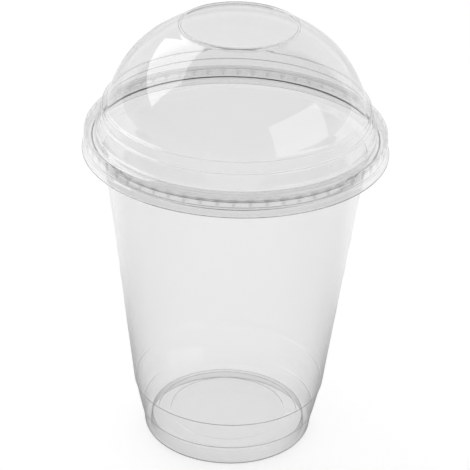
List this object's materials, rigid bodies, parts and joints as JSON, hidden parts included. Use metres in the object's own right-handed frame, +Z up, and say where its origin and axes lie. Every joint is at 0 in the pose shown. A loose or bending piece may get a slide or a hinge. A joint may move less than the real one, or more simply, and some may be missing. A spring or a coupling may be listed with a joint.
{
  "type": "smoothie cup with lid",
  "caption": "Clear tapered drinks cup with a rolled rim and a raised base, closed by a clear dome lid whose fluted skirt snaps on to the rim.",
  "frame": {"origin": "centre of the flat ring that the cup stands on, at table level", "axes": "+Z up along the axis that the cup and the lid are turned about; X and Y are level"},
  "size_m": [0.1008, 0.1008, 0.15],
  "materials": {
    "cup_sheet": "clear thermoformed PET, glossy",
    "lid_sheet": "clear thermoformed PET, glossy"
  },
  "bodies": {
    "cup": {"cup": "cup_sheet"},
    "lid": {"dome_lid": "lid_sheet"}
  },
  "joints": [
    {"name": "lid_lift", "type": "slide", "parent": "cup", "child": "lid", "axis": [0, 0, 1], "range_m": [0, 0.03]}
  ]
}
